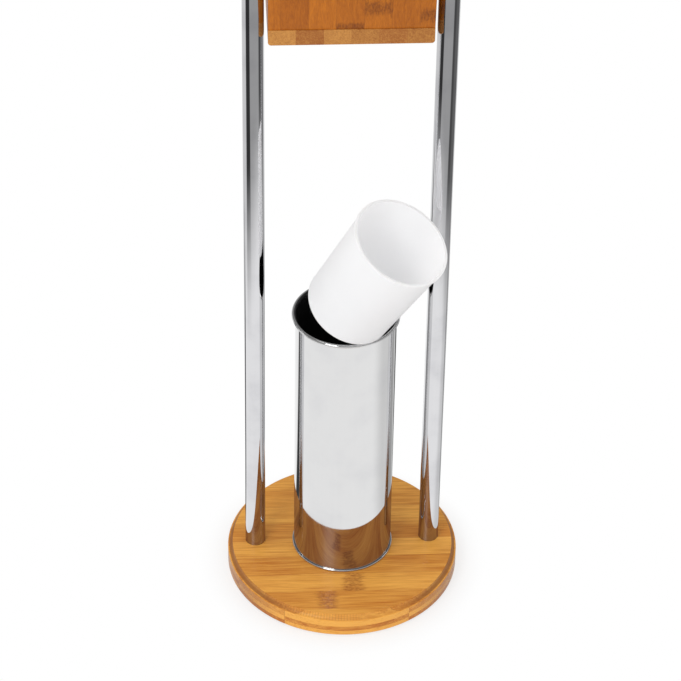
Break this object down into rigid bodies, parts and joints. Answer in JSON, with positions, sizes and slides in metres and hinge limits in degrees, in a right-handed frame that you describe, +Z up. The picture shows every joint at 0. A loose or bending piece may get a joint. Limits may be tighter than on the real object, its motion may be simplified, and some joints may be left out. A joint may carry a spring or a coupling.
{
  "type": "toilet accessory stand",
  "caption": "Round wooden foot with chrome posts, a steel canister with a loose plastic liner, a lidded wooden box and a paper roll holder.",
  "frame": {"origin": "on the floor under the middle of the round foot", "axes": "+Z up, +X to the right seen from the front, +Y to the back"},
  "size_m": [0.232, 0.232, 0.8669],
  "materials": {
    "bamboo": "satin lacquered laminated bamboo",
    "chrome": "polished chrome plate",
    "polished_steel": "polished stainless steel",
    "liner_plastic": "milky translucent polypropylene",
    "rubber": "matte",
    "zinc_steel": "zinc plated",
    "hinge_steel": "nickel plated"
  },
  "bodies": {
    "frame": {"base_board": "bamboo", "base_pad_1": "rubber", "base_pad_2": "rubber", "base_pad_3": "rubber", "base_pad_4": "rubber", "box_back": "bamboo", "box_floor": "bamboo", "box_front": "bamboo", "box_left_side": "bamboo", "box_right_side": "bamboo", "canister_base": "polished_steel", "canister_insert": "zinc_steel", "canister_screw": "zinc_steel", "canister_shell": "polished_steel", "left_hinge_box_leaf": "hinge_steel", "left_hinge_pin": "hinge_steel", "left_lower_rivet_nut": "zinc_steel", "left_lower_saddle": "chrome", "left_lower_screw": "zinc_steel", "left_post": "chrome", "left_post_bolt": "zinc_steel", "left_post_cap": "chrome", "left_post_plug": "zinc_steel", "left_post_washer": "zinc_steel", "left_roll_bracket": "chrome", "left_upper_rivet_nut": "zinc_steel", "left_upper_saddle": "chrome", "left_upper_screw": "zinc_steel", "right_hinge_box_leaf": "hinge_steel", "right_hinge_pin": "hinge_steel", "right_lower_rivet_nut": "zinc_steel", "right_lower_saddle": "chrome", "right_lower_screw": "zinc_steel", "right_post": "chrome", "right_post_bolt": "zinc_steel", "right_post_cap": "chrome", "right_post_plug": "zinc_steel", "right_post_washer": "zinc_steel", "right_roll_bracket": "chrome", "right_upper_rivet_nut": "zinc_steel", "right_upper_saddle": "chrome", "right_upper_screw": "zinc_steel"},
    "liner": {"liner_cup": "liner_plastic"},
    "lid": {"box_lid": "bamboo", "left_hinge_lid_leaf": "hinge_steel", "right_hinge_lid_leaf": "hinge_steel"},
    "rod": {"roll_rod": "chrome"},
    "sleeve": {"roll_sleeve": "bamboo"}
  },
  "joints": [
    {"name": "liner_lift", "type": "slide", "parent": "frame", "child": "liner", "axis": [0, 0, 1], "range_m": [0, 0.11]},
    {"name": "lid_hinge", "type": "hinge", "parent": "frame", "child": "lid", "pos_m": [0, 0.0723, 0.7432], "axis": [-1, 0, 0], "range_deg": [0, 100]},
    {"name": "roll_rod_lift", "type": "slide", "parent": "frame", "child": "rod", "axis": [0, 0, 1], "range_m": [0, 0.04]},
    {"name": "roll_sleeve_spin", "type": "hinge", "parent": "rod", "child": "sleeve", "pos_m": [0, 0.0035, 0.8434], "axis": [1, 0, 0], "continuous": true}
  ]
}
